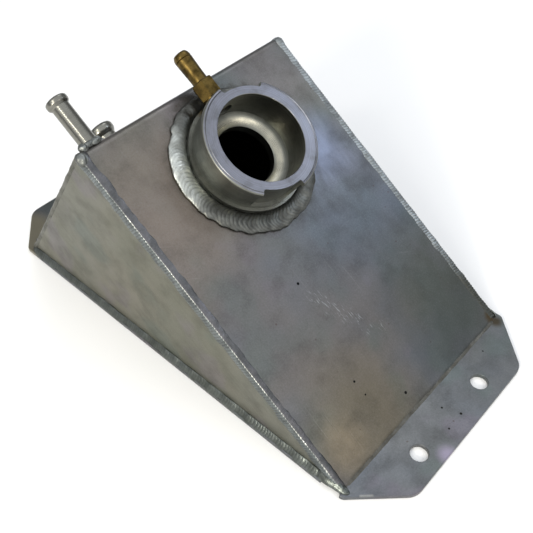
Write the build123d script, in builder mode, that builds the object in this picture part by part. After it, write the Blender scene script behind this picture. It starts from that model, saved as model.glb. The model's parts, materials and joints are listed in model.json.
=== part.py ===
from build123d import *
from math import cos, radians, sin
import os

# Wedge-shaped welded aluminium reservoir, resting on its flat base plate.
# +Z is up, +Y runs from the thin front edge to the tall rear wall, -X is the left side.
# All sizes are in millimetres.

# ---- driving dimensions -------------------------------------------------------------
sheet = 2.5                 # gauge of every sheet
slope = 34.4                # angle between the base plate and the sloping top panel
top_length = 184.5          # top panel, from its front edge to the rear fold
body_width = 129.4          # across the outer faces of the two side plates
fold_radius = 3.8           # outside radius of the fold between top and rear wall
base_lip = 2.6              # how far the base plate stands out beyond the side plates

tab_depth = 25.0            # mounting tabs, front and rear, in line with the base plate
tab_start = 1.5             # the tabs begin to taper this far beyond the folds
front_tab_inset = 22.5      # how far the tab's end edges taper inwards
rear_tab_inset = 19.5
tab_corner = 9.0
tab_shoulder = 3.0
nick_length = 10.4          # the lip is ground away at the left front corner
edge_round = 0.35           # the base plate's edges and holes are deburred
hole_radius = 4.25          # clearance for M8
hole_spacing = 51.3
hole_shift = -1.75          # both pairs of holes stand a little left of the middle
hole_from_fold = 14.2       # from the foot of the wall to the hole centres

neck_x = 2.5                # filler neck centre, on the top panel
neck_y = 143.0
neck_height = 20.6
bore_radius = 21.5          # where the pressure cap's seal plate goes in
lip_radius = 28.6           # 57 mm cap size
lip_thickness = 2.8         # the cap's claws turn under it
lip_round = 1.1
lip_line_radius = 27.2      # a fine groove turned in the lip's face
lip_line_depth = 0.25
bore_round = 0.4
body_radius = 27.4
foot_radius = 28.9          # welding foot of the neck
foot_height = 3.0
seat_height = 3.2           # outer edge of the rounded sealing seat, above the top panel
seat_middle_radius = 18.4
seat_middle_height = 2.5
seat_drop = 2.6             # from the seat's outer edge down to the throat's edge
throat_radius = 15.1
spigot_radius = 19.9        # locates the neck in the panel
spigot_clearance = 0.1
spigot_depth = 4.0
notch_angle = 72.0          # first claw notch, from +X towards the rear; the other is opposite
notch_width = 46.0          # in degrees
notch_radius = 25.5
notch_floor = 5.0
notch_fillet = 1.2

port_height = 8.8           # overflow port in the neck wall
shank_radius = 4.5
shank_clearance = 0.05
shank_length = 7.2          # ends just short of the bore
port_depth = 9.4            # through the wall into the bore
hex_flats = 10.0            # across flats
hex_gap = 2.1               # the hexagon stops this far from the neck wall
hex_length = 8.6
hex_chamfer = 0.5
barb_root_radius = 3.85
barb_radius = 4.2
barb_groove = 0.3           # turned behind the rounded tip
barb_tip_radius = 3.3
barb_tip_arc = 4.4
barb_body_length = 12.8
barb_tip_length = 3.2
barb_bore_radius = 2.1

upper_tail_x = -52.3        # from the middle of the rear wall
upper_tail_drop = 10.0      # below the top panel
upper_tail_tube = 4.3
upper_tail_bore = 2.9
upper_tail_bead = 5.5
upper_tail_bead_length = 4.3
upper_tail_bead_round = 1.3
upper_tail_length = 27.8
lower_tail_x = 0.0
lower_tail_drop = 97.0
lower_tail_tube = 6.35
lower_tail_bore = 4.75
lower_tail_bead = 7.85
lower_tail_bead_length = 7.0
lower_tail_bead_round = 2.4
lower_tail_length = 32.3
tail_clearance = 0.05
tail_stub = 4.0             # how far a tail reaches inside the rear wall

bead_cover = 1.2            # how far a corner weld laps onto each sheet
bead_crown = 0.1            # the crown stays this far inside the sharp corner
fillet_leg = 2.3            # side plates to base plate
fillet_arc = 4.6            # radius of its crown
rear_fillet_leg = 3.6
rear_fillet_arc = 10.8
front_seam_leg = 0.9
neck_weld_radius = 38.3
neck_weld_height = 2.9
neck_weld_arc = 23.0        # radius of its hollow face
tail_weld_leg = 2.7
tail_weld_arc = 5.4

# ---- derived ------------------------------------------------------------------------
slope_cos = cos(radians(slope))
slope_sin = sin(radians(slope))
run = top_length / slope_cos                    # foot of the wedge, front to rear
front_y = -run / 2
rear_y = run / 2
rise = top_length * slope_sin
crest_y = front_y + top_length * slope_cos
inner_front_y = front_y + sheet / slope_sin
inner_rear_y = rear_y - sheet / slope_cos
half_width = body_width / 2
half_inside = half_width - sheet                # the folded sheet stops here
fold_inside = fold_radius - sheet
plate_half = half_width + base_lip
along = Vector(0, slope_cos, slope_sin)         # up the top panel
normal = Vector(0, -slope_sin, slope_cos)       # out of the top panel
sideways = Vector(1, 0, 0)
inner_top_length = top_length - sheet * (1 + slope_cos / slope_sin)
inner_crest = Vector(0, inner_front_y, sheet) + along * inner_top_length

base_top = Plane.XY.offset(sheet)
top_plane = Plane(origin=(0, front_y, sheet), x_dir=sideways, z_dir=normal)
rear_plane = Plane(origin=(0, crest_y, sheet + rise), x_dir=sideways, z_dir=along)


def at(plane, x, y, z=0.0):
    """The same plane with its origin moved to a point given in its own coordinates."""
    return Plane(origin=plane.from_local_coords((x, y, z)), x_dir=plane.x_dir, z_dir=plane.z_dir)


def lengthwise(plane):
    """The plane that holds an axis plane's x direction and its normal, for turned profiles."""
    return Plane(origin=plane.origin, x_dir=plane.x_dir, z_dir=plane.x_dir.cross(plane.z_dir))


def turning_axis(plane):
    return Axis(plane.origin, plane.z_dir)


neck_plane = at(top_plane, neck_x, neck_y)
barb_plane = Plane(
    origin=top_plane.from_local_coords((neck_x, neck_y + body_radius + hex_gap, port_height)),
    x_dir=sideways,
    z_dir=along,
)
upper_tail_plane = at(rear_plane, upper_tail_x, upper_tail_drop)
lower_tail_plane = at(rear_plane, lower_tail_x, lower_tail_drop)
sides = (("left", -1), ("right", 1))

os.makedirs("parts", exist_ok=True)

# ---- sheet pieces -------------------------------------------------------------------
with BuildPart() as base_plate:
    with BuildSketch() as base_outline:
        Rectangle(2 * plate_half, run + 2 * tab_start)
        for fold, away, inset in ((rear_y, 1, rear_tab_inset), (front_y, -1, front_tab_inset)):
            Polygon(
                (-plate_half, fold + away * tab_start),
                (inset - plate_half, fold + away * tab_depth),
                (plate_half - inset, fold + away * tab_depth),
                (plate_half, fold + away * tab_start),
                align=None,
            )
        rows = base_outline.vertices().group_by(Axis.Y)     # front corners, shoulders, rear corners
        fillet(rows[1] + rows[2], tab_shoulder)
        rows = base_outline.vertices().group_by(Axis.Y)
        fillet(rows[0] + rows[-1], tab_corner)
        with Locations((-plate_half, front_y + nick_length / 2)):
            Ellipse(base_lip, nick_length / 2, mode=Mode.SUBTRACT)
        with Locations((hole_shift, rear_y + hole_from_fold), (hole_shift, front_y - hole_from_fold)):
            with GridLocations(hole_spacing, 1, 2, 1):
                Circle(hole_radius, mode=Mode.SUBTRACT)
    extrude(amount=sheet)
    fillet(base_plate.faces().filter_by(Axis.Z).edges(), edge_round)
base_plate.part.label = "base_plate"
export_step(base_plate.part, "parts/base_plate.step")

# The inner face of the folded sheet: also the outline of the side plates.
with BuildSketch(Plane.YZ) as inner_wedge:
    Polygon(
        (inner_front_y, sheet),
        (inner_crest.Y, inner_crest.Z),
        (inner_rear_y, sheet),
        align=None,
    )
    fillet(inner_wedge.vertices().sort_by(Axis.Y)[-1], fold_inside)

# One sheet, folded along the rear top edge, makes the top panel and the rear wall.
with BuildPart() as top_and_rear_panel:
    with BuildSketch(Plane.YZ) as outer_wedge:
        Polygon((front_y, sheet), (crest_y, sheet + rise), (rear_y, sheet), align=None)
        fillet(outer_wedge.vertices().sort_by(Axis.Y)[-1], fold_radius)
        add(inner_wedge.sketch_local, mode=Mode.SUBTRACT)
    extrude(amount=half_inside, both=True)
    with BuildSketch(neck_plane):
        Circle(spigot_radius + spigot_clearance)
    extrude(amount=2 * sheet, both=True, mode=Mode.SUBTRACT)
    with BuildSketch(upper_tail_plane):
        Circle(upper_tail_tube + tail_clearance)
    extrude(amount=2 * sheet, both=True, mode=Mode.SUBTRACT)
    with BuildSketch(lower_tail_plane):
        Circle(lower_tail_tube + tail_clearance)
    extrude(amount=2 * sheet, both=True, mode=Mode.SUBTRACT)
top_and_rear_panel.part.label = "top_and_rear_panel"
export_step(top_and_rear_panel.part, "parts/top_and_rear_panel.step")

for name, side in sides:
    with BuildPart() as side_plate:
        add(inner_wedge.sketch.moved(Location((side * half_inside, 0, 0))))
        extrude(amount=side * sheet, dir=sideways)
    side_plate.part.label = f"{name}_side_plate"
    export_step(side_plate.part, f"parts/{name}_side_plate.step")

# ---- filler neck --------------------------------------------------------------------
with BuildPart() as filler_neck:
    with BuildSketch(lengthwise(neck_plane)):
        with BuildLine():
            Polyline(
                (throat_radius, -spigot_depth),
                (spigot_radius, -spigot_depth),
                (spigot_radius, 0),
                (foot_radius, 0),
                (foot_radius, foot_height),
                (body_radius, foot_height),
                (body_radius, neck_height - lip_thickness),
                (lip_radius, neck_height - lip_thickness),
                (lip_radius, neck_height - lip_round),
            )
            RadiusArc(
                (lip_radius, neck_height - lip_round),
                (lip_radius - lip_round, neck_height),
                -lip_round,
            )
            Polyline(
                (lip_radius - lip_round, neck_height),
                (lip_line_radius + lip_line_depth, neck_height),
                (lip_line_radius, neck_height - lip_line_depth),
                (lip_line_radius - lip_line_depth, neck_height),
                (bore_radius + bore_round, neck_height),
            )
            RadiusArc(
                (bore_radius + bore_round, neck_height),
                (bore_radius, neck_height - bore_round),
                -bore_round,
            )
            # Below its straight wall the bore narrows to the rounded sealing seat.
            Line((bore_radius, neck_height - bore_round), (bore_radius, seat_height))
            ThreePointArc(
                (bore_radius, seat_height),
                (seat_middle_radius, seat_middle_height),
                (throat_radius, seat_height - seat_drop),
            )
            Line((throat_radius, seat_height - seat_drop), (throat_radius, -spigot_depth))
        make_face()
    revolve(axis=turning_axis(neck_plane))
    # Two notches, cut down past the lip, let the cap's claws through.
    with BuildSketch(neck_plane.offset(notch_floor)) as notches:
        notch_reach = 2 * lip_radius
        notch_half = notch_reach * sin(radians(notch_width / 2)) / cos(radians(notch_width / 2))
        with PolarLocations(0, 2, start_angle=notch_angle):
            Polygon((0, 0), (notch_reach, -notch_half), (notch_reach, notch_half), align=None)
        Circle(notch_radius, mode=Mode.SUBTRACT)
        fillet(notches.vertices().sort_by_distance((0, 0, 0))[:4], notch_fillet)
    extrude(amount=neck_height, mode=Mode.SUBTRACT)
    # The tapped overflow port goes through the rear of the wall.
    with BuildSketch(barb_plane):
        Circle(shank_radius + shank_clearance)
    extrude(amount=-port_depth, mode=Mode.SUBTRACT)
filler_neck.part.label = "filler_neck"
export_step(filler_neck.part, "parts/filler_neck.step")

# ---- brass overflow fitting ---------------------------------------------------------
with BuildPart() as overflow_barb:
    with BuildSketch(barb_plane):
        RegularPolygon(hex_flats / 2, 6, major_radius=False)
    extrude(amount=hex_length)
    chamfer(overflow_barb.faces().sort_by(Axis(barb_plane.origin, along))[-1].edges(), hex_chamfer)
    barb_end = hex_length + barb_body_length
    with BuildSketch(lengthwise(barb_plane)):
        with BuildLine():
            Polyline(
                (0, -shank_length),
                (shank_radius, -shank_length),
                (shank_radius, 0),
                (barb_root_radius, 0),
                (barb_root_radius, hex_length + barb_body_length / 4),
                (barb_radius, barb_end - barb_groove),
                (barb_radius - barb_groove, barb_end),
                (barb_radius, barb_end + barb_groove),
            )
            RadiusArc(
                (barb_radius, barb_end + barb_groove),
                (barb_tip_radius, barb_end + barb_tip_length),
                -barb_tip_arc,
            )
            Polyline(
                (barb_tip_radius, barb_end + barb_tip_length),
                (0, barb_end + barb_tip_length),
                (0, -shank_length),
            )
        make_face()
    revolve(axis=turning_axis(barb_plane))
    with BuildSketch(barb_plane.offset(-shank_length)):
        Circle(barb_bore_radius)
    extrude(amount=shank_length + barb_end + barb_tip_length, mode=Mode.SUBTRACT)
overflow_barb.part.label = "overflow_barb"
export_step(overflow_barb.part, "parts/overflow_barb.step")

# ---- beaded hose tails in the rear wall ---------------------------------------------
tails = (
    ("upper", upper_tail_plane, upper_tail_tube, upper_tail_bore, upper_tail_bead,
     upper_tail_bead_length, upper_tail_bead_round, upper_tail_length),
    ("lower", lower_tail_plane, lower_tail_tube, lower_tail_bore, lower_tail_bead,
     lower_tail_bead_length, lower_tail_bead_round, lower_tail_length),
)
for name, plane, tube, bore, bead, bead_length, bead_round, length in tails:
    with BuildPart() as hose_tail:
        with BuildSketch(lengthwise(plane)):
            with BuildLine():
                bead_start = length - bead_length
                bead_widest = bead_start + bead_length / 2
                Polyline((bore, length), (bore, -tail_stub), (tube, -tail_stub), (tube, bead_start))
                Spline(
                    (tube, bead_start),
                    (bead, bead_widest),
                    tangents=((0.5, 1), (0, 1)),
                )
                Line((bead, bead_widest), (bead, length - bead_round))
                RadiusArc((bead, length - bead_round), (bead - bead_round, length), -bead_round)
                Line((bead - bead_round, length), (bore, length))
            make_face()
        revolve(axis=turning_axis(plane))
    hose_tail.part.label = f"{name}_hose_tail"
    export_step(hose_tail.part, f"parts/{name}_hose_tail.step")

    with BuildPart() as tail_weld:
        with BuildSketch(lengthwise(plane)):
            with BuildLine():
                Polyline((tube + tail_weld_leg, 0), (tube, 0), (tube, tail_weld_leg))
                RadiusArc((tube, tail_weld_leg), (tube + tail_weld_leg, 0), tail_weld_arc)
            make_face()
        revolve(axis=turning_axis(plane))
    tail_weld.part.label = f"{name}_tail_weld"
    export_step(tail_weld.part, f"parts/{name}_tail_weld.step")

# ---- welds --------------------------------------------------------------------------
with BuildPart() as neck_weld:
    with BuildSketch(lengthwise(neck_plane)):
        with BuildLine():
            Polyline((neck_weld_radius, 0), (foot_radius, 0), (foot_radius, neck_weld_height))
            RadiusArc((foot_radius, neck_weld_height), (neck_weld_radius, 0), neck_weld_arc)
        make_face()
    revolve(axis=turning_axis(neck_plane))
neck_weld.part.label = "neck_weld"
export_step(neck_weld.part, "parts/neck_weld.step")

seam_half = half_inside - bead_cover
with BuildPart() as rear_base_weld:
    with BuildSketch(Plane.YZ):
        with BuildLine():
            toe_on_base = (rear_y + rear_fillet_leg, sheet)
            toe_on_wall = (
                rear_y - rear_fillet_leg * slope_sin,
                sheet + rear_fillet_leg * slope_cos,
            )
            Polyline(toe_on_base, (rear_y, sheet), toe_on_wall)
            RadiusArc(toe_on_wall, toe_on_base, rear_fillet_arc)
        make_face()
    extrude(amount=seam_half, both=True)
rear_base_weld.part.label = "rear_base_weld"
export_step(rear_base_weld.part, "parts/rear_base_weld.step")

with BuildPart() as front_seam_weld:
    with BuildSketch(Plane.YZ):
        Polygon(
            (front_y - front_seam_leg, sheet),
            (front_y, sheet),
            (front_y + front_seam_leg * slope_cos, sheet + front_seam_leg * slope_sin),
            align=None,
        )
    extrude(amount=seam_half, both=True)
front_seam_weld.part.label = "front_seam_weld"
export_step(front_seam_weld.part, "parts/front_seam_weld.step")


def corner_bead_section(plane, side):
    """Section of an outside corner weld; the plane's origin is the open inner corner."""
    with BuildSketch(plane) as section:
        with BuildLine():
            Polyline(
                (-side * bead_cover, -sheet),
                (0, -sheet),
                (0, 0),
                (side * sheet, 0),
                (side * sheet, bead_cover),
            )
            ThreePointArc(
                (side * sheet, bead_cover),
                (side * (sheet - bead_crown), -(sheet - bead_crown)),
                (-side * bead_cover, -sheet),
            )
        make_face()
    return section.sketch


for name, side in sides:
    weld_start = front_y + (nick_length if name == "left" else 0)
    with BuildPart() as base_weld:
        with BuildSketch(Plane.XZ.offset(-weld_start)):
            with BuildLine():
                Polyline(
                    (side * (half_width + fillet_leg), sheet),
                    (side * half_width, sheet),
                    (side * half_width, sheet + fillet_leg),
                )
                RadiusArc(
                    (side * half_width, sheet + fillet_leg),
                    (side * (half_width + fillet_leg), sheet),
                    side * fillet_arc,
                )
            make_face()
        extrude(amount=weld_start - rear_y)
    base_weld.part.label = f"{name}_base_weld"
    export_step(base_weld.part, f"parts/{name}_base_weld.step")

    crest = Vector(side * half_inside, inner_crest.Y, inner_crest.Z)
    bend_start = crest - along * fold_inside
    bend_end = crest - normal * fold_inside
    with BuildPart() as top_weld:
        top_section = corner_bead_section(
            Plane(origin=bend_start, x_dir=sideways, z_dir=along), side)
        extrude(top_section, amount=top_length, dir=-along)
        revolve(top_section, axis=Axis(bend_start - normal * fold_inside, sideways),
                revolution_arc=-90)
        split(bisect_by=base_top, keep=Keep.TOP)
        add(base_weld.part, mode=Mode.SUBTRACT)
    top_weld.part.label = f"{name}_top_weld"
    export_step(top_weld.part, f"parts/{name}_top_weld.step")

    with BuildPart() as rear_weld:
        rear_section = corner_bead_section(
            Plane(origin=bend_end, x_dir=sideways, z_dir=-normal), side)
        extrude(rear_section, amount=top_length, dir=-normal)
        split(bisect_by=base_top, keep=Keep.TOP)
        add(base_weld.part, mode=Mode.SUBTRACT)
    rear_weld.part.label = f"{name}_rear_weld"
    export_step(rear_weld.part, f"parts/{name}_rear_weld.step")
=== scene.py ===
"""Looks of the welded aluminium reservoir: rippled weld beads and procedural metals on the CAD frame."""

import json
from math import cos, pi, radians, sin, tau

import bmesh
import bpy
import numpy as np
from mathutils import Matrix, Vector, noise


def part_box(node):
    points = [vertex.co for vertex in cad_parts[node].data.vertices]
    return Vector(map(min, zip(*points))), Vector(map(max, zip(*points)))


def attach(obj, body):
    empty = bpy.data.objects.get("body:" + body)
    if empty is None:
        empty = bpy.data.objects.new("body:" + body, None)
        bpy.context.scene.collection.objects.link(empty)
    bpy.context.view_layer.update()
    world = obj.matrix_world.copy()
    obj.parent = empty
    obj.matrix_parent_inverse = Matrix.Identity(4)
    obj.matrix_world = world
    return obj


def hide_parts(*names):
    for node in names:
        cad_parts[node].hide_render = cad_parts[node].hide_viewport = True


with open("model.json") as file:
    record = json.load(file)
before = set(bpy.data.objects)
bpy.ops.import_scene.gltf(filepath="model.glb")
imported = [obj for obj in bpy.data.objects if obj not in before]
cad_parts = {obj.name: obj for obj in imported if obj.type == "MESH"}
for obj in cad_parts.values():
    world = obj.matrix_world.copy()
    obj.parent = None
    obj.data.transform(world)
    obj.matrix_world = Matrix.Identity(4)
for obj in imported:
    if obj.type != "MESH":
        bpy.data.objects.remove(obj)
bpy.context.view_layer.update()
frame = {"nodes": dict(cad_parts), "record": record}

MM = 0.001
FOLD_RADIUS = 3.8       # of the fold between top panel and rear wall, in millimetres
STATION_STEP = 0.16     # distance between a bead's sections, in millimetres
BURIED = -0.2           # a fillet bead reaches this far into the corner behind it, in millimetres
LOWEST = 0.2            # no bead goes below this part of the base plate's thickness

# ---- the frame's own directions and levels, read from the CAD model ---------------------------
mounts = {mount["name"]: mount for mount in frame["record"]["mounts"]}
normal = Vector(mounts["cap_bore"]["axis"]).normalized()    # out of the top panel
along = Vector((0, normal.z, -normal.y))                    # up the top panel, out of the rear wall
sideways = Vector((1, 0, 0))
upwards = Vector((0, 0, 1))


def span(node, direction):
    """How far a CAD node reaches along a direction, lowest and highest."""
    reach = [vertex.co.dot(direction) for vertex in frame["nodes"][node].data.vertices]
    return min(reach), max(reach)


base_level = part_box("base_plate")[1].z
base_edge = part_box("base_plate")[1].x
side_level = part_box("right_side_plate")[1].x
sheet = side_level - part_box("top_and_rear_panel")[1].x
top_level = span("top_and_rear_panel", normal)[1]
rear_level = span("top_and_rear_panel", along)[1]
front_foot = (base_level - top_level * normal.z) / along.z      # where the top panel meets the base
rear_foot = (base_level - rear_level * along.z) / normal.z      # where the rear wall meets it
front_line = (along * front_foot + normal * top_level).y
rear_line = (along * rear_level + normal * rear_foot).y
rear_edge = (rear_level - front_foot) / MM                      # length of the top panel, in millimetres

neck_left, neck_right = span("neck_weld", sideways)
neck_front, neck_rear = span("neck_weld", along)
neck_centre = sideways * (neck_left + neck_right) / 2 + along * (neck_front + neck_rear) / 2
neck_centre += normal * top_level
lip_level = span("filler_neck", normal)[1] - top_level
slope = (-normal.angle(upwards), 0, 0)                          # turns the top panel level


# ---- camera and light -------------------------------------------------------------------------
CAMERA_AIM = Vector((-28.1, -35.0, 60.7)) * MM
CAMERA_AZIMUTH, CAMERA_ELEVATION, CAMERA_ROLL = -47.55, 46.82, -0.58    # degrees
CAMERA_DISTANCE = 330 * MM
SENSOR_WIDTH, FOCAL_LENGTH = 36, 49.85                                  # millimetres
CLIP_START = 0.01

# name, azimuth, elevation, distance, side length, power, colour
LAMPS = (
    ("warm_window", -72, 27, 1.1, 0.2, 6.5, (1.0, 0.94, 0.82)),
    ("cool_window", 62, 41, 1.1, 0.24, 0.95, (0.75, 0.85, 1.0)),
    ("side_glint", -88, 48, 1.1, 0.14, 1.3, (1.0, 0.96, 0.88)),
    ("ceiling", 115, 58, 1.2, 0.5, 1.7, (0.92, 0.95, 1.0)),
    ("front_glow", 10, 35, 1.3, 0.5, 1.4, (1.0, 0.95, 0.88)),
)
SKY_COLOUR = (0.95, 0.97, 1.0, 1)
SKY_BRIGHT_SIDE = (-0.3, -0.35, 0.89)
SKY_RAMP = (("From Min", 0.3), ("From Max", 0.8), ("To Min", 0.36), ("To Max", 1.18))


def look(position, forward, roll=0.0):
    """A matrix for a camera or lamp at a position, facing a direction."""
    turn = forward.to_track_quat("-Z", "Y").to_matrix().to_4x4()
    return Matrix.Translation(position) @ turn @ Matrix.Rotation(roll, 4, "Z")


def direction(azimuth, elevation):
    """Unit vector from the object towards a place round it; azimuth 0 is in front, 90 on the right."""
    a, e = radians(azimuth), radians(elevation)
    return Vector((sin(a) * cos(e), -cos(a) * cos(e), sin(e)))


def make_camera():
    camera = bpy.data.objects.new("camera", bpy.data.cameras.new("camera"))
    bpy.context.scene.collection.objects.link(camera)
    bpy.context.scene.camera = camera
    towards = direction(CAMERA_AZIMUTH, CAMERA_ELEVATION)
    camera.matrix_world = look(CAMERA_AIM + towards * CAMERA_DISTANCE, -towards, radians(CAMERA_ROLL))
    camera.data.sensor_width = SENSOR_WIDTH
    camera.data.lens = FOCAL_LENGTH
    camera.data.clip_start = CLIP_START


def soft_box(name, azimuth, elevation, distance, size, power, colour):
    lamp = bpy.data.lights.new(name, "AREA")
    lamp.shape = "RECTANGLE"
    lamp.size = size
    lamp.size_y = size
    lamp.energy = power
    lamp.color = colour
    box = bpy.data.objects.new(name, lamp)
    bpy.context.scene.collection.objects.link(box)
    towards = direction(azimuth, elevation)
    box.matrix_world = look(towards * distance, -towards)


def make_light():
    """Warm lamps on the left, cooler ones on the right, and a sky that darkens to the right and back."""
    for lamp in LAMPS:
        soft_box(*lamp)
    world = bpy.data.worlds.new("studio")
    world.use_nodes = True
    nodes, links = world.node_tree.nodes, world.node_tree.links
    background = nodes["Background"]
    background.inputs["Color"].default_value = SKY_COLOUR
    towards = nodes.new("ShaderNodeTexCoord")
    facing = nodes.new("ShaderNodeVectorMath")
    facing.operation = "DOT_PRODUCT"
    facing.inputs[1].default_value = SKY_BRIGHT_SIDE
    strength = nodes.new("ShaderNodeMapRange")
    for key, value in SKY_RAMP:
        strength.inputs[key].default_value = value
    links.new(towards.outputs["Generated"], facing.inputs[0])
    links.new(facing.outputs["Value"], strength.inputs["Value"])
    links.new(strength.outputs["Result"], background.inputs["Strength"])
    bpy.context.scene.world = world
    bpy.context.scene.view_settings.view_transform = "Standard"


# ---- procedural materials ---------------------------------------------------------------------
class Metal:
    """A metal material, with short ways to write its nodes. Patterns are in the frame's metres."""

    def __init__(self, name, metallic=1.0):
        self.material = bpy.data.materials.new(name)
        self.material.use_nodes = True
        self.tree = self.material.node_tree
        self.shader = self.tree.nodes["Principled BSDF"]
        self.shader.inputs["Metallic"].default_value = metallic
        self.place = self.node("ShaderNodeTexCoord").outputs["Object"]

    def node(self, kind, inputs=None, **settings):
        made = self.tree.nodes.new(kind)
        for key, value in settings.items():
            setattr(made, key, value)
        for key, value in (inputs or {}).items():
            if isinstance(value, bpy.types.NodeSocket):
                self.tree.links.new(value, made.inputs[key])
            else:
                made.inputs[key].default_value = value
        return made

    def sum(self, kind, first, second=0.0):
        return self.node("ShaderNodeMath", {0: first, 1: second}, operation=kind).outputs[0]

    def turned(self, angles=(0, 0, 0), stretch=(1, 1, 1), centre=(0, 0, 0)):
        """Object coordinates in a frame that is turned, then stretched, about a centre."""
        moved = self.node(
            "ShaderNodeVectorMath", {0: self.place, 1: Vector(centre)}, operation="SUBTRACT"
        ).outputs[0]
        spun = self.node("ShaderNodeVectorRotate", {"Vector": moved, "Rotation": angles},
                         rotation_type="EULER_XYZ").outputs[0]
        return self.node("ShaderNodeVectorMath", {0: spun, 1: stretch}, operation="MULTIPLY").outputs[0]

    def noise(self, scale, detail=3.0, roughness=0.5, place=None):
        return self.node(
            "ShaderNodeTexNoise",
            {"Vector": place or self.place, "Scale": scale, "Detail": detail, "Roughness": roughness},
        ).outputs["Fac"]

    def cells(self, scale, place):
        return self.node("ShaderNodeTexVoronoi", {"Vector": place, "Scale": scale}).outputs["Distance"]

    def between(self, value, low, high, out_low=0.0, out_high=1.0):
        """Map a value from low..high to out_low..out_high, with soft ends."""
        return self.node(
            "ShaderNodeMapRange",
            {"Value": value, "From Min": low, "From Max": high, "To Min": out_low, "To Max": out_high},
            interpolation_type="SMOOTHSTEP",
        ).outputs["Result"]

    def mix(self, share, first, second):
        def colour(value):
            return (*value, 1) if isinstance(value, tuple) else value
        made = self.node("ShaderNodeMix", data_type="RGBA")
        for key, value in ((0, share), (6, colour(first)), (7, colour(second))):
            if isinstance(value, bpy.types.NodeSocket):
                self.tree.links.new(value, made.inputs[key])
            else:
                made.inputs[key].default_value = value
        return made.outputs[2]

    def near(self, centre, reach, blur, share=None):
        """share (or 1) within reach millimetres of a point, falling to 0 over blur millimetres."""
        gap = self.node("ShaderNodeVectorMath", {0: self.place, 1: Vector(centre)}, operation="DISTANCE")
        inside = self.between(gap.outputs["Value"], (reach + blur) * MM, reach * MM)
        return inside if share is None else self.sum("MULTIPLY", inside, share)

    def along_top(self):
        """How far a point is up the top panel."""
        dot = self.node("ShaderNodeVectorMath", {0: self.place, 1: along}, operation="DOT_PRODUCT")
        return dot.outputs["Value"]

    def attribute(self, name):
        return self.node("ShaderNodeAttribute", attribute_name=name).outputs["Fac"]

    def bump(self, height, distance, before=None):
        inputs = {"Height": height, "Distance": distance, "Strength": 1.0}
        if before is not None:
            inputs["Normal"] = before
        return self.node("ShaderNodeBump", inputs).outputs["Normal"]

    def finish(self, colour, roughness, bumps=None):
        self.tree.links.new(colour, self.shader.inputs["Base Color"])
        self.tree.links.new(roughness, self.shader.inputs["Roughness"])
        if bumps is not None:
            self.tree.links.new(bumps, self.shader.inputs["Normal"])
        return self.material


def on_top(x, y, height=0.0):
    """A point on the top panel: x across, y up from the front fold, in millimetres."""
    return sideways * x * MM + along * (front_foot + y * MM) + normal * (top_level + height * MM)


def on_base(x, y):
    """A point on the base plate, y behind the front fold, in millimetres."""
    return Vector((x * MM, front_line + y * MM, base_level))


# Broad tints on the top panel: x, y, reach, blur, share, colour; places and sizes in millimetres.
TOP_TINTS = (
    (-42, 150, 12, 50, 0.75, (0.22, 0.185, 0.155)),
    (45, 170, 6, 30, 0.8, (0.165, 0.15, 0.14)),
    (-30, 75, 10, 40, 0.5, (0.15, 0.145, 0.145)),
    (34, 95, 15, 55, 0.7, (0.105, 0.12, 0.145)),
    (48, 28, 10, 40, 0.75, (0.085, 0.095, 0.085)),
    (-34, 14, 8, 36, 0.8, (0.16, 0.14, 0.1)),
    (-50, 12, 4, 14, 0.7, (0.21, 0.175, 0.125)),
    (40, 128, 3, 22, 0.7, (0.2, 0.225, 0.3)),
)
# Pits and scuffs: x, y, reach.
TOP_PITS = ((-17.8, 80.8, 0.55), (-26.4, 30, 0.45), (-8.1, 8.8, 0.6), (-26, 22.1, 0.3))
TOP_SCUFFS = (
    (-15.0, 70.9, 2.0), (-12.1, 64.1, 2.2), (-8.3, 56.6, 2.5), (-5.0, 49.9, 2.0), (-3.0, 44.2, 1.6),
    (5.8, 38.9, 1.0),
)
BASE_PITS = ((-0.6, -8.8, 0.4), (2.6, -17.2, 0.5), (-7.9, -17.4, 0.35), (41, -6, 0.3))
PIT_BLUR = 0.3

GREEN_TINT, PURPLE_TINT = (0.1, 0.135, 0.12), (0.19, 0.16, 0.2)
DULL, PALE_SPECK, DARK_SPECK = (0.025, 0.024, 0.02), (0.28, 0.28, 0.28), (0.04, 0.039, 0.035)
SCRATCH, CORROSION = (0.4, 0.39, 0.37), (0.075, 0.05, 0.045)
# The second colour here is painted shade for the crease along the front seam.
SOOT, CREASE_SHADE = (0.06, 0.057, 0.045), (0.04, 0.039, 0.03)
TOP_PIT, BASE_PIT = (0.008, 0.008, 0.008), (0.02, 0.019, 0.017)
TOP_STAIN, BASE_STAIN = (0.075, 0.05, 0.02), (0.05, 0.035, 0.015)
# Of these, the second is a painted highlight on a rubbed edge and the third a painted purple glow.
SCUFF, RUBBED_EDGE_HIGHLIGHT, PAINTED_PURPLE_GLOW = (0.36, 0.38, 0.38), (0.6, 0.58, 0.5), (0.35, 0.3, 0.4)
REAR_TAB = (0.235, 0.215, 0.16)


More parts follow.
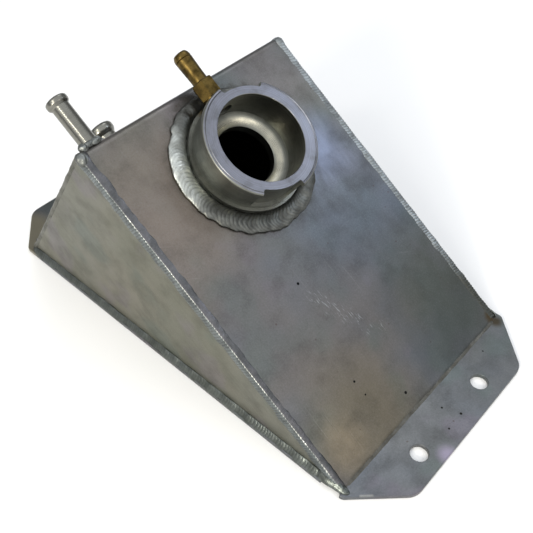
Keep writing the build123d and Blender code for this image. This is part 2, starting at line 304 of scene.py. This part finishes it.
def sheet_metal(name, warm, olive, cool, seed, stains_and_shade=None, marks=None):
    """Dull, handled aluminium sheet: mottled oxide, rolling grain, smears, fine scratches and pits.
    stains (tints and painted shade) go under the dirty mottle and marks go over it."""
    m = Metal(name)
    flat = m.turned(slope, centre=(seed, 0, 0))
    clouds = m.noise(15.0, 3.0, 0.55, flat)
    tints = m.noise(24.0, 2.0, 0.5, m.turned(slope, centre=(seed + 2, 0, 0)))
    mottle = m.noise(75.0, 4.0, 0.6, flat)
    grain = m.noise(1.0, 3.0, 0.6, m.turned(slope, (2600, 60, 2600), (seed, 0, 0)))
    speck = m.noise(1300.0, 2.0, 0.6, flat)
    colour = m.mix(m.between(clouds, 0.35, 0.65), warm, cool)
    colour = m.mix(m.between(tints, 0.42, 0.68, 0.0, 0.8), colour, olive)
    hues = m.noise(34.0, 2.0, 0.5, m.turned(slope, centre=(seed + 7, 0, 0)))
    green = m.mix(0.5, colour, GREEN_TINT)
    purple = m.mix(0.4, colour, PURPLE_TINT)
    colour = m.mix(m.between(hues, 0.52, 0.64, 0.0, 0.7), colour, green)
    colour = m.mix(m.between(hues, 0.44, 0.34, 0.0, 0.8), colour, purple)
    if stains_and_shade is not None:
        colour = stains_and_shade(m, colour)
    dull = m.mix(0.55, colour, DULL)
    colour = m.mix(m.between(mottle, 0.4, 0.8, 0.0, 0.5), colour, dull)
    colour = m.mix(m.between(speck, 0.45, 0.8, 0.0, 0.14), colour, PALE_SPECK)
    colour = m.mix(m.between(speck, 0.5, 0.2, 0.0, 0.16), colour, DARK_SPECK)
    fine = m.noise(1.0, 1.0, 0.4, m.turned(slope, (1300, 22, 1300), (seed, 0, 0)))
    cross_turn = (slope[0], 0, radians(31))
    cross = m.noise(1.0, 1.0, 0.4, m.turned(cross_turn, (26, 1100, 1100), (seed, 0, 0)))
    scratches = m.sum("MAXIMUM", m.between(fine, 0.75, 0.79), m.between(cross, 0.76, 0.79))
    rubbed = m.between(m.noise(30.0, 2.0, 0.5, m.turned(slope, centre=(seed + 5, 0, 0))), 0.5, 0.6)
    scratches = m.sum("MULTIPLY", scratches, rubbed)
    colour = m.mix(m.sum("MULTIPLY", scratches, 0.09), colour, SCRATCH)
    pits = m.between(m.cells(150.0, flat), 0.1, 0.04)
    pits = m.sum("MULTIPLY", pits, m.between(m.noise(45.0, 1.0, 0.5, flat), 0.52, 0.6))
    colour = m.mix(m.sum("MULTIPLY", pits, 0.55), colour, CORROSION)
    roughness = m.between(mottle, 0.25, 0.8, 0.36, 0.5)
    roughness = m.sum("ADD", roughness, m.between(grain, 0.3, 0.7, -0.04, 0.05))
    waves = m.bump(m.noise(32.0, 2.0, 0.5, flat), 0.9 * MM)
    bumps = m.bump(grain, 0.012 * MM, waves)
    bumps = m.bump(m.sum("ADD", scratches, pits), -0.02 * MM, bumps)
    if marks is not None:
        colour = marks(m, colour)
    return m.finish(colour, roughness, bumps)


def top_panel_stains_and_shade(m, colour):
    """Broad tints on the top panel, soot round the neck weld and painted shade in the crease along the
    front seam.
    """
    for x, y, reach, blur, share, tint in TOP_TINTS:
        colour = m.mix(m.near(on_top(x, y), reach, blur, share), colour, tint)
    ragged = m.noise(160.0, 3.0, 0.6)
    soot = m.sum("MULTIPLY", m.near(neck_centre, 37.0, 5.5), m.between(ragged, 0.38, 0.65, 0.05, 0.6))
    colour = m.mix(soot, colour, SOOT)
    # Painted shade: a ragged dark band in the crease along the front seam.
    seam = m.between(m.along_top(), front_foot + 2.6 * MM, front_foot + 0.3 * MM)
    seam_shade = m.sum("MULTIPLY", seam, m.between(ragged, 0.3, 0.6, 0.2, 0.7))
    return m.mix(seam_shade, colour, CREASE_SHADE)


def top_panel_marks(m, colour):
    """Pits and scuffs on the top panel, and a brown stain in its right front corner."""
    for x, y, size in TOP_PITS:
        colour = m.mix(m.near(on_top(x, y), size, PIT_BLUR), colour, TOP_PIT)
    colour = m.mix(m.near(on_top(62, 3), 1.5, 4, 0.8), colour, TOP_STAIN)
    streaks = m.turned((slope[0], 0, radians(-8)), (1500, 240, 1500))
    flecks = m.between(m.noise(1.0, 2.0, 0.55, streaks), 0.56, 0.7)
    for x, y, reach in TOP_SCUFFS:
        scuff = m.sum("MULTIPLY", flecks, m.near(on_top(x, y), reach, 4))
        colour = m.mix(m.sum("MULTIPLY", scuff, 0.6), colour, SCUFF)
    return colour


def base_marks(m, colour):
    """Pits in the front tab, its rubbed edge with a painted highlight, an olive rear corner and a brown
    stain by the weld.
    """
    for x, y, size in BASE_PITS:
        colour = m.mix(m.near(on_base(x, y), size, PIT_BLUR), colour, BASE_PIT)
    # A rubbed edge on the front tab, with a painted highlight along it.
    for step in range(7):
        place = on_base(-61.4 + 0.6 * step, -7.0 - 0.6 * step)
        colour = m.mix(m.near(place, 0.15, 0.75, 0.2), colour, RUBBED_EDGE_HIGHLIGHT)
    colour = m.mix(m.near(on_base(-64, 236), 14, 10), colour, REAR_TAB)
    # Painted purple glow on the front tab.
    colour = m.mix(m.near(on_base(-19.7, -24.4), 1.0, 6, 0.6), colour, PAINTED_PURPLE_GLOW)
    return m.mix(m.near(on_base(62, -1), 1.0, 4, 0.8), colour, BASE_STAIN)


# The first colour is a painted highlight for the crest of a corner bead.
CREST_HIGHLIGHT, TOE_SOOT = (0.55, 0.56, 0.53), (0.022, 0.021, 0.018)


def weld_metal(name, bright=(0.26, 0.265, 0.265), dark=(0.085, 0.085, 0.08), top=None, side=None,
               patches=()):
    """Rippled bead: clean crests, dull frosted valleys and a sooty line at the toes. top and side tint
    the flanks of a corner bead, whose crest gets a broken painted highlight. patches are (place,
    reach, blur, colour) of cleaner or dirtier metal."""
    m = Metal(name)
    ripple, across = m.attribute("ripple"), m.attribute("across")
    toe = m.sum("ABSOLUTE", across)
    frost = m.noise(1900.0, 3.0, 0.65)
    patch = m.noise(150.0, 4.0, 0.65)
    if top is not None:
        bright = m.mix(m.between(across, -0.12, 0.12), top, side)
        # Painted highlight: a broken bright line along the crest of a corner bead.
        broken_highlight = m.between(m.noise(70.0, 2.0), 0.45, 0.56, 0.15, 1.0)
        crest = m.sum("MULTIPLY", m.between(toe, 0.13, 0.04), broken_highlight)
        bright = m.mix(crest, bright, CREST_HIGHLIGHT)
    for place, reach, blur, tint in patches:
        bright = m.mix(m.near(place, reach, blur), bright, tint)
        dark = m.mix(m.near(place, reach, blur, 0.3), dark, tint)
    clean = m.between(patch, 0.3, 0.65, 0.35, 1.0)
    colour = m.mix(m.sum("MULTIPLY", m.between(ripple, 0.05, 0.8, 0.4, 1.0), clean), dark, bright)
    ragged = m.sum("ADD", toe, m.between(m.noise(420.0, 2.0), 0.3, 0.7, -0.14, 0.07))
    colour = m.mix(m.between(ragged, 0.88, 1.04, 0.0, 0.75), colour, TOE_SOOT)
    roughness = m.between(patch, 0.3, 0.7, 0.5, 0.32)
    roughness = m.sum("ADD", roughness, m.between(frost, 0.3, 0.7, -0.05, 0.1))
    return m.finish(colour, roughness, m.bump(frost, 0.07 * MM, m.bump(patch, 0.3 * MM)))


def turned_metal(name, centre, axis, colour, dark, face=None, rubbed_seat_highlight=None, grip=0.3, grime_share=0.6):
    """Lathe-turned metal: fine rings about an axis, with grime. face is (height, colour) of a cleaner
    end face, tinted bluer as a painted sky reflection. seat is (inner radius, outer radius, height,
    colour) of a ring inside, rubbed bright, whose warm colour is a painted highlight."""
    m = Metal(name)
    tilt = axis.rotation_difference(upwards).to_euler()
    parts = m.node("ShaderNodeSeparateXYZ", {0: m.turned(tuple(tilt), centre=centre)})
    flat = m.node("ShaderNodeCombineXYZ", {0: parts.outputs[0], 1: parts.outputs[1]}).outputs[0]
    radius = m.node("ShaderNodeVectorMath", {0: flat}, operation="LENGTH").outputs["Value"]
    height = parts.outputs[2]
    rings = m.node("ShaderNodeCombineXYZ", {0: radius, 1: height}).outputs[0]
    lines = m.noise(3000.0, 2.0, 0.6, rings)
    grime = m.noise(150.0, 4.0, 0.6)
    haze = m.noise(45.0, 3.0, 0.5)
    if face is not None:
        # The end face is cleaner, and its bluer tint is a painted sky reflection.
        level, clean = face
        colour = m.mix(m.between(height, level - 0.2 * MM, level - 0.1 * MM), colour, clean)
    tone = m.mix(m.between(grime, 0.4, 0.85, 0.0, grime_share), colour, dark)
    tone = m.mix(m.between(lines, 0.35, 0.75, 0.0, 0.35), tone, dark)
    roughness = m.between(haze, 0.3, 0.7, grip, grip + 0.1)
    roughness = m.sum("ADD", roughness, m.between(lines, 0.2, 0.8, -0.04, 0.08))
    # Painted highlight: the ring where the cap seals is rubbed clean, and its warm colour stands for a
    # highlight.
    if rubbed_seat_highlight is not None:
        inner, outer, level, clean = rubbed_seat_highlight
        middle, half = (inner + outer) / 2, (outer - inner) / 2
        off = m.sum("ABSOLUTE", m.sum("SUBTRACT", radius, middle))
        rubbed = m.between(off, half, 0.2 * half)
        rubbed = m.sum("MULTIPLY", rubbed, m.between(height, level + 0.2 * MM, level))
        rubbed = m.sum("MULTIPLY", rubbed, m.between(grime, 0.3, 0.6, 1.0, 0.55))
        tone = m.mix(rubbed, tone, clean)
        roughness = m.sum("SUBTRACT", roughness, m.sum("MULTIPLY", rubbed, 0.14))
    return m.finish(tone, roughness, m.bump(lines, 0.02 * MM))


def tarnished_brass():
    m = Metal("tarnished_brass")
    patina = m.noise(170.0, 4.0, 0.6)
    spots = m.noise(700.0, 3.0, 0.6)
    clean, brown, black = (0.135, 0.092, 0.028), (0.045, 0.031, 0.01), (0.025, 0.018, 0.008)
    colour = m.mix(m.between(patina, 0.35, 0.62), clean, brown)
    colour = m.mix(m.between(spots, 0.5, 0.8, 0.0, 0.6), colour, black)
    roughness = m.between(patina, 0.3, 0.7, 0.32, 0.5)
    return m.finish(colour, roughness, m.bump(spots, 0.012 * MM))


# ---- weld beads -------------------------------------------------------------------------------
def outside_corner(leg_a, leg_b, radius):
    """Section of a bead over an outside corner: flat flanks and a rounded crest. Each row is
    (way along face a, way along face b, outward a, outward b), in millimetres from the corner."""
    points = 9
    rows = [(leg_a + (radius - leg_a) * i / points, 0, 0, -1) for i in range(points)]
    for i in range(points + 1):
        angle = pi / 2 * i / points
        rows.append((radius - radius * sin(angle), radius - radius * cos(angle), -sin(angle), -cos(angle)))
    rows += [(0, radius + (leg_b - radius) * i / points, -1, 0) for i in range(1, points + 1)]
    return rows


def inside_corner(leg_a, leg_b, fullness, drop=0.0):
    """Section of a fillet bead between two faces: a superellipse about a point drop below the corner."""
    points = 18
    rows = []
    for i in range(points + 1):
        angle = pi / 2 * i / points
        a, b = max(cos(angle), 0) ** (2 / fullness), sin(angle) ** (2 / fullness)
        rows.append((leg_a * a, (leg_b + drop) * b - drop, cos(angle), sin(angle)))
    return rows


def pad(wide, high):
    """Section of a bead that lies beside a wall, with a valley left between: a is along the sheet."""
    points, step = 26, 0.5
    rows = []
    for i in range(points + 1):
        part = i / points
        hump = high * max(1 - abs(2 * part - 0.9) ** 2.4, 0) ** 0.6
        rows.append((wide * (1 - part), hump + step * part ** 4, cos(pi * part), sin(pi * part)))
    return rows


def scallop(phase):
    """Height of one solidified ripple: a slow rise and a quick fall, from 0 to 1."""
    part = phase - np.floor(phase)
    return np.sin(pi * part ** 0.7) ** 0.8


def wander(values, size, seed):
    """Smooth noise from -1 to 1 that changes over a distance of size."""
    return np.array([noise.noise(Vector((value / size, seed, 0.37 * seed))) for value in values])


def bead(name, stations, section, root, node, material, pitch=1.9, depth=0.16, lift=0.3, lag=0.7,
         wobble=0.08, lumps=0.22, bias=0.0, swells=(), ring=False, width=None, ripple_share=None,
         taper=1.2, seed=0.0):
    """A weld bead swept through stations (way in mm, corner, direction a, direction b).

    pitch, depth and lag are the ripples' spacing, height and curve across the bead. lift raises the
    bead. wobble makes its edges uneven and lumps its height; swells are (way, reach, height). bias
    fades the ripples on flank a and ripple_share along the way. width scales flank a. A bead that is
    no ring tapers over its ends. root is how far the bead is buried.
    """
    way = np.array([station[0] for station in stations])
    corner, side_a, side_b = (np.array([station[k] for station in stations]) for k in (1, 2, 3))
    rows = np.array(section)
    across = np.linspace(-1, 1, len(rows))
    stretch = 1 + wobble * wander(way, 3.1, seed + 1.7) + wobble * wander(way, 9.0, seed + 4.1)
    other = 1 + wobble * wander(way, 3.7, seed + 8.3) + wobble * wander(way, 11.0, seed + 6.9)
    if width is not None:
        stretch = stretch * width
    height = lumps * wander(way, 4.6, seed + 2.3) + 0.6 * lumps * wander(way, 14.0, seed + 5.2)
    for centre, reach, rise in swells:
        height = height + rise * np.exp(-((way - centre) / reach) ** 2)
    stray = wander(way, 6.0, seed + 3.3)
    stray_size = 0.45
    if ring:
        # The end of the ring runs back into its beginning.
        blend = np.clip((way[-1] - way) / 12.0, 0, 1)
        height, stretch, other, stray = (
            values * blend + values[0] * (1 - blend) for values in (height, stretch, other, stray))
        stray_size = 0.85
    share = np.ones_like(way) if ripple_share is None else ripple_share
    share = share[:, None] * (1 - bias * np.clip(0.5 - 2 * across[None, :], 0, 1))
    phase = way / pitch + stray_size * stray
    ripple = scallop(phase[:, None] - lag * across[None, :] ** 2)
    crown = 1 - np.abs(across[None, :]) ** 5
    rise = crown * (lift + height[:, None] + depth * (2 * ripple - 1) * share) - 0.07 * (1 - crown)
    a = rows[None, :, 0] * stretch[:, None] + rows[None, :, 2] * rise
    b = rows[None, :, 1] * other[:, None] + rows[None, :, 3] * rise
    if not ring:
        close = np.minimum(way - way[0], way[-1] - way)
        dome = np.sqrt(1 - np.clip(1 - close / taper, 0, 1) ** 2)[:, None]
        a, b = root + (a - root) * dome, root + (b - root) * dome
    offset = a[..., None] * side_a[:, None, :] + b[..., None] * side_b[:, None, :]
    buried = corner + (side_a + side_b) * root * MM
    points = np.concatenate([corner[:, None, :] + offset * MM, buried[:, None, :]], axis=1)
    points[..., 2] = np.maximum(points[..., 2], LOWEST * base_level)
    count, wide = points.shape[:2]
    faces = []
    for i in range(count if ring else count - 1):
        for j in range(wide):
            k, n = (i + 1) % count, (j + 1) % wide
            faces.append((i * wide + j, i * wide + n, k * wide + n, k * wide + j))
    if not ring:
        faces.append(tuple(reversed(range(wide))))
        faces.append(tuple(range((count - 1) * wide, count * wide)))
    mesh = bpy.data.meshes.new(name)
    mesh.from_pydata(points.reshape(-1, 3).tolist(), [], faces)
    tone = 0.8 * (0.55 + (ripple - 0.55) * share) + 0.2 * (1 - share) + 0.25 * height[:, None]
    tone = np.concatenate([np.clip(tone, 0, 1), np.zeros((count, 1))], axis=1)
    flanks = np.concatenate([np.repeat(across[None, :], count, axis=0), np.ones((count, 1))], axis=1)
    place_weld(name, mesh, material, node, tone, flanks)


def place_weld(name, mesh, material, node, ripple, across):
    """Outward faces, smooth shading, the weld material's two attributes, and its place in the model."""
    work = bmesh.new()
    work.from_mesh(mesh)
    bmesh.ops.recalc_face_normals(work, faces=work.faces)
    work.to_mesh(mesh)
    work.free()
    mesh.polygons.foreach_set("use_smooth", [True] * len(mesh.polygons))
    for key, values in (("ripple", ripple), ("across", across)):
        attribute = mesh.attributes.new(key, "FLOAT", "POINT")
        attribute.data.foreach_set("value", values.astype(np.float32).ravel())
    mesh.materials.append(material)
    piece = bpy.data.objects.new(name, mesh)
    bpy.context.scene.collection.objects.link(piece)
    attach(piece, "root")
    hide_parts(node)


def ways(start, end):
    return np.linspace(start, end, int(round((end - start) / STATION_STEP)) + 1)


def edge_station(side, way):
    """A point of the left or right outer edge, way millimetres up from the front: up the top panel,
    round the fold and down the rear wall."""
    straight = (rear_level - front_foot) / MM - FOLD_RADIUS
    angle = min(max(way - straight, 0) / FOLD_RADIUS, pi / 2)
    beyond = max(way - straight - FOLD_RADIUS * pi / 2, 0)
    outward = along * sin(angle) + normal * cos(angle)
    u = front_foot + (min(way, straight) + FOLD_RADIUS * sin(angle)) * MM
    w = top_level - (FOLD_RADIUS * (1 - cos(angle)) + beyond) * MM
    corner = sideways * side * side_level + along * u + normal * w
    return way, corner, -side * sideways, -outward


def edge_lengths():
    """Where the fold begins and ends along the outer edge, and where the edge ends."""
    straight = (rear_level - front_foot) / MM - FOLD_RADIUS
    bend_end = straight + FOLD_RADIUS * pi / 2
    return straight, bend_end, bend_end + (top_level - rear_foot) / MM - FOLD_RADIUS


def make_edge_welds(left_metal, right_metal, rear_metal):
    """Beads over the side plates' edges. The left one is wider on its side and swells in front."""
    straight, bend_end, finish = edge_lengths()
    root = sheet / MM
    fold_swell = (straight + 1.5, 2.6, 0.6)
    foot_swell = (finish - 3, 4, 0.5)
    top_ways, rear_ways = ways(0.6, bend_end), ways(bend_end - 1.5, finish - 0.3)
    widening = 0.8 + 0.25 * np.clip((top_ways - 60) / 70, 0, 1)
    left_swells, right_swells = ((9.0, 5.0, 0.8), (17.0, 3.0, 0.3)), ((28.0, 2.5, 0.5),)
    for name, side, seed, metal, side_leg, bias, swells, width in (
        ("left", -1, 1.0, left_metal, 5.8, 0.85, left_swells, widening),
        ("right", 1, 7.0, right_metal, 3.4, 0.2, right_swells, None),
    ):
        bead(f"{name}_top_bead", [edge_station(side, way) for way in top_ways],
             outside_corner(3.9, side_leg, 0.7), root, f"{name}_top_weld", metal, pitch=1.5, lift=0.16,
             depth=0.13, lumps=0.2, bias=bias, wobble=0.13, swells=(*swells, fold_swell), width=width,
             seed=seed)
        bead(f"{name}_rear_bead", [edge_station(side, way) for way in rear_ways],
             outside_corner(2.6, 2.6, 1.0), root, f"{name}_rear_weld", rear_metal, pitch=1.6, lift=0.08,
             depth=0.04, lumps=0.16, wobble=0.16, swells=(fold_swell, foot_swell), seed=seed + 20)


def make_base_welds(metal):
    """Fillets along the side plates' feet, on the base plate's narrow lip."""
    lip = (base_edge - side_level) / MM
    section = inside_corner(lip + 0.05, 2.8, 1.3, drop=0.9)
    for name, side, seed in (("left", -1, 31.0), ("right", 1, 37.0)):
        low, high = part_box(f"{name}_base_weld")
        front, rear = (low.y - front_line) / MM, (high.y - front_line) / MM
        stations = [
            (way, Vector((side * side_level, front_line + way * MM, base_level)), side * sideways, upwards)
            for way in ways(front + 0.3, rear - 0.3)
        ]
        share = 0.55 + 0.45 * wander([station[0] for station in stations], 13.0, seed)
        bead(f"{name}_base_bead", stations, section, BURIED, f"{name}_base_weld", metal, pitch=1.6,
             lift=0.03, depth=0.06, lumps=0.3, wobble=0.09, swells=((front + 2.0, 6.0, 0.5),),
             ripple_share=share, taper=7.0, seed=seed)


def cross_stations(line, side_a, side_b):
    """Stations across the tank, where a panel meets the base plate."""
    half = side_level / MM - 3.5
    return [(way, Vector((way * MM, line, base_level)), side_a, side_b) for way in ways(-half, half)]


def make_rear_base_weld(metal):
    bead("rear_base_bead", cross_stations(rear_line, Vector((0, 1, 0)), normal),
         inside_corner(3.9, 3.9, 1.25), BURIED, "rear_base_weld", metal, lift=0.1, depth=0.12, seed=43.0)


def make_front_seam(metal):
    stations = cross_stations(front_line, Vector((0, -1, 0)), along)
    bead("front_seam_bead", stations, inside_corner(0.65, 1.0, 1.0), BURIED, "front_seam_weld", metal,
         pitch=1.3, lift=0.0, depth=0.012, lumps=0.08, wobble=0.25,
         ripple_share=np.full(len(stations), 0.25), seed=47.0)


WAY_OFFSET = 4.0        # a ring's way is measured this far outside its wall, in millimetres


def circle_station(centre, axis, radius, angle):
    """A point where a round wall meets the plane round its foot; angle 0 is to the right."""
    up = axis.cross(sideways)
    out = sideways * cos(angle) + up * sin(angle)
    return angle * (radius / MM + WAY_OFFSET), centre + out * radius, out, axis


def make_neck_weld(metal):
    """The broad bead round the neck's foot. It is widest at the upper left, where its ripples fade."""
    foot, wide, middle = 28.9, 9.4, 32.9
    turns = np.linspace(-pi, pi, int(tau * 33 / STATION_STEP), endpoint=False)
    width = (8.2 + 2.1 * np.cos(turns + radians(145))) / wide
    crisp = 0.15 + 0.85 * (0.5 + 0.5 * np.cos(turns + radians(140))) ** 2
    stations = [circle_station(neck_centre, normal, foot * MM, angle) for angle in turns]
    behind_hexagon = (stations[0][0] * -0.5, 9.0, -0.9)
    bead("neck_bead", stations, pad(wide, 2.0), BURIED, "neck_weld", metal, pitch=tau * middle / 104,
         depth=0.13, lift=0.1, lag=1.9, wobble=0.09, lumps=1.0, ring=True, swells=(behind_hexagon,),
         width=width, ripple_share=crisp, seed=53.0)


def make_tail_welds(metal):
    leg = 2.7
    for name, seed in (("upper", 61.0), ("lower", 67.0)):
        left, right = span(f"{name}_hose_tail", sideways)
        low, high = span(f"{name}_tail_weld", normal)
        centre = sideways * (left + right) / 2 + normal * (low + high) / 2 + along * rear_level
        outer = (high - low) / 2 / MM
        turns = np.linspace(-pi, pi, int(tau * outer / STATION_STEP), endpoint=False)
        stations = [circle_station(centre, along, (outer - leg) * MM, angle) for angle in turns]
        round_way = tau * (outer - leg + WAY_OFFSET)
        bead(f"{name}_tail_bead", stations, inside_corner(leg, leg, 1.3), BURIED, f"{name}_tail_weld",
             metal, pitch=round_way / round(round_way / 2.1), depth=0.2, lift=0.15, wobble=0.05,
             lumps=0.35, ring=True, seed=seed)


# Lumps of weld metal at the left rear corner, at the upper tail's foot and at the left front corner:
# name, node, place, half sizes in millimetres, seed.
REAR_LUMPS = (
    ("corner_lump", "left_top_weld", on_top(-63.9, rear_edge - 3.6, -1.0), (2.9, 3.3, 2.3), 71.0),
    ("tail_lump_left", "upper_tail_weld", on_top(-60.0, rear_edge + 0.5, -1.6), (2.4, 2.1, 2.2), 73.0),
    ("tail_lump_middle", "upper_tail_weld", on_top(-56.8, rear_edge + 0.8, -1.5), (3.0, 1.5, 1.7), 75.0),
    ("tail_lump_right", "upper_tail_weld", on_top(-53.2, rear_edge + 0.6, -1.3), (2.9, 1.7, 1.6), 79.0),
)
FRONT_LUMPS = (
    ("front_lump", "left_base_weld", on_base(-64.5, 8.2), (2.7, 9.5, 3.1), 83.0),
    ("front_toe", "left_base_weld", on_base(-64.2, 1.0), (2.0, 3.6, 1.5), 89.0),
)


def make_lumps(lumps, axes, metal):
    """Rounded lumps of weld metal, swirled where they froze."""
    for name, node, place, size, seed in lumps:
        work = bmesh.new()
        bmesh.ops.create_icosphere(work, subdivisions=5, radius=1.0)
        for vertex in work.verts:
            ball = vertex.co.copy()
            swirl = sin(7.0 * ball.xy.length + ball.x * 1.5)
            grow = 1 + 0.16 * noise.noise(ball * 1.4 + Vector((seed, 0, 0))) + 0.035 * swirl
            ball = ball * grow
            vertex.co = place + sum((axes[k] * ball[k] * size[k] * MM for k in range(3)), Vector())
            vertex.co.z = max(vertex.co.z, LOWEST * base_level)
        mesh = bpy.data.meshes.new(name)
        work.to_mesh(mesh)
        work.free()
        rings = [0.6 + 0.4 * sin(9.0 * (vertex.co - place).length / (2.5 * MM)) for vertex in mesh.vertices]
        place_weld(name, mesh, metal, node, np.array(rings), np.full(len(rings), 0.4))


# ---- everything together ----------------------------------------------------------------------
def paint(node, material):
    """A CAD node keeps its shape and gets a better material."""
    mesh = frame["nodes"][node].data
    mesh.materials.clear()
    mesh.materials.append(material)


def make_floor():
    m = Metal("pale_floor", metallic=0.0)
    colour = m.mix(m.noise(3.0, 2.0), (0.9, 0.9, 0.895), (0.94, 0.94, 0.935))
    material = m.finish(colour, m.between(m.noise(40.0), 0.3, 0.7, 0.75, 0.85))
    mesh = bpy.data.meshes.new("floor")
    half = 6.0
    corners = [(-half, -half, 0), (half, -half, 0), (half, half, 0), (-half, half, 0)]
    mesh.from_pydata(corners, [], [(0, 1, 2, 3)])
    mesh.materials.append(material)
    floor = bpy.data.objects.new("floor", mesh)
    bpy.context.scene.collection.objects.link(floor)
    floor.location.z = -0.2 * MM


def make_welds():
    plain = weld_metal("weld_bead")
    left = weld_metal("left_corner_bead", dark=(0.07, 0.075, 0.075), top=(0.15, 0.148, 0.155),
                      side=(0.19, 0.215, 0.215))
    dirty_end = (on_top(63, 6), 16, 35, (0.07, 0.072, 0.06))
    right = weld_metal("right_corner_bead", dark=(0.08, 0.085, 0.085), top=(0.33, 0.355, 0.36),
                       side=(0.3, 0.31, 0.29), patches=(dirty_end,))
    make_edge_welds(left, right, weld_metal("rear_bead", (0.17, 0.168, 0.14), (0.08, 0.08, 0.066)))
    base = weld_metal("base_bead", (0.15, 0.165, 0.155), (0.055, 0.06, 0.053))
    make_base_welds(base)
    make_rear_base_weld(plain)
    make_front_seam(weld_metal("fused_seam", (0.12, 0.115, 0.1), (0.05, 0.048, 0.04)))
    frosted_part = (on_top(-30, 155), 9, 15, (0.6, 0.63, 0.6))
    make_neck_weld(
        weld_metal("neck_bead", (0.15, 0.155, 0.145), (0.06, 0.06, 0.055), patches=(frosted_part,)))
    make_tail_welds(plain)
    lump = weld_metal("lump", (0.26, 0.275, 0.265), (0.09, 0.092, 0.085))
    make_lumps(REAR_LUMPS, (sideways, along, normal), lump)
    make_lumps(FRONT_LUMPS, (sideways, Vector((0, 1, 0)), upwards), base)


def paint_sheets():
    top_sheet = sheet_metal("top_sheet", (0.165, 0.15, 0.138), (0.135, 0.137, 0.118),
                            (0.125, 0.135, 0.15), 0.0, stains_and_shade=top_panel_stains_and_shade, marks=top_panel_marks)
    side_sheet = sheet_metal("side_sheet", (0.19, 0.182, 0.142), (0.165, 0.167, 0.128),
                             (0.175, 0.177, 0.147), 3.0)
    base_sheet = sheet_metal("base_sheet", (0.14, 0.145, 0.147), (0.132, 0.137, 0.132),
                             (0.134, 0.145, 0.16), 5.0, marks=base_marks)
    paint("top_and_rear_panel", top_sheet)
    paint("left_side_plate", side_sheet)
    paint("right_side_plate", side_sheet)
    paint("base_plate", base_sheet)


def paint_fittings():
    # The lip's end face is cleaner, and its bluer tint is a painted sky reflection.
    face = (lip_level, (0.225, 0.23, 0.265))
    # The ring where the cap seals is rubbed clean; its warm colour is a painted highlight.
    rubbed_seat_highlight = (14.8 * MM, 20.0 * MM, 3.1 * MM, (0.42, 0.4, 0.32))
    paint("filler_neck", turned_metal("turned_neck", neck_centre, normal, (0.22, 0.225, 0.2),
                                      (0.07, 0.07, 0.06), face=face, rubbed_seat_highlight=rubbed_seat_highlight))
    for name in ("upper", "lower"):
        left, right = span(f"{name}_hose_tail", sideways)
        low, high = span(f"{name}_hose_tail", normal)
        centre = sideways * (left + right) / 2 + normal * (low + high) / 2
        tube = turned_metal(f"{name}_tube", centre, along, (0.24, 0.237, 0.21), (0.08, 0.077, 0.065),
                            grip=0.19, grime_share=0.3)
        paint(f"{name}_hose_tail", tube)
    paint("overflow_barb", tarnished_brass())


make_camera()
make_light()
make_floor()
make_welds()
paint_sheets()
paint_fittings()
